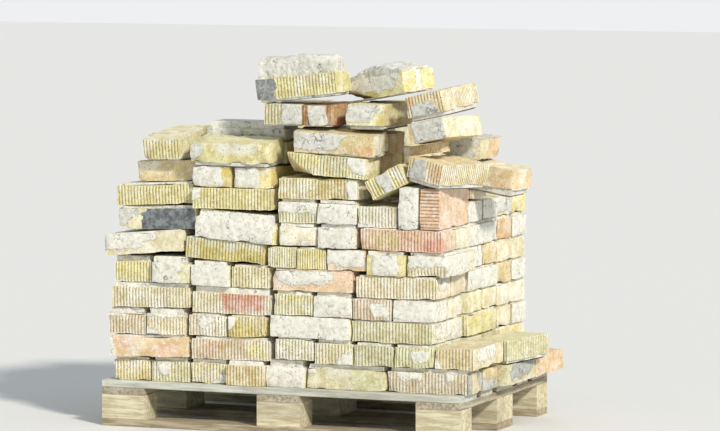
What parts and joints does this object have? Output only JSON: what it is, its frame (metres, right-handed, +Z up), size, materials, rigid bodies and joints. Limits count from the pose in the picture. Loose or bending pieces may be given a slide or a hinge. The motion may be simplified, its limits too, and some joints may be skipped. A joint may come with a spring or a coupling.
{
  "type": "loaded brick pallet",
  "caption": "Wooden four-way pallet loaded with a dry stack of old solid bricks that still carry mortar, with a loose pile on top at one end.",
  "frame": {"origin": "middle of the pallet's footprint, on the floor", "axes": "+X along the pallet's long side to the right as seen from the front, +Y from the front of the load to its back, +Z up"},
  "size_m": [1.2886, 0.8469, 1.1759],
  "materials": {
    "brick": "rough",
    "timber": "rough"
  },
  "bodies": {
    "root": {"block_back_centre": "timber", "block_back_left": "timber", "block_back_right": "timber", "block_front_centre": "timber", "block_front_left": "timber", "block_front_right": "timber", "block_middle_centre": "timber", "block_middle_left": "timber", "block_middle_right": "timber", "bottom_board_1": "timber", "bottom_board_2": "timber", "bottom_board_3": "timber", "brick_course_1": "brick", "brick_course_10": "brick", "brick_course_11": "brick", "brick_course_2": "brick", "brick_course_3": "brick", "brick_course_4": "brick", "brick_course_5": "brick", "brick_course_6": "brick", "brick_course_7": "brick", "brick_course_8": "brick", "brick_course_9": "brick", "broken_brick": "brick", "crowned_brick": "brick", "deck_board_1": "timber", "deck_board_2": "timber", "deck_board_3": "timber", "deck_board_4": "timber", "deck_board_5": "timber", "eleventh_course_brick": "brick", "eleventh_course_rear_brick": "brick", "leaning_brick": "brick", "ledge_brick": "brick", "low_brick": "brick", "prop_brick": "brick", "right_pile_lower_brick": "brick", "right_pile_upper_brick": "brick", "rounded_brick": "brick", "slanting_brick": "brick", "sliding_brick": "brick", "split_brick": "brick", "stringer_board_centre": "timber", "stringer_board_left": "timber", "stringer_board_right": "timber", "tenth_course_broken_brick": "brick", "tenth_course_left_brick": "brick", "tenth_course_middle_brick": "brick", "tenth_course_middle_rear_brick": "brick", "tenth_course_right_rear_brick": "brick", "top_brick_left": "brick", "top_brick_middle": "brick", "top_brick_narrow": "brick"}
  },
  "joints": []
}
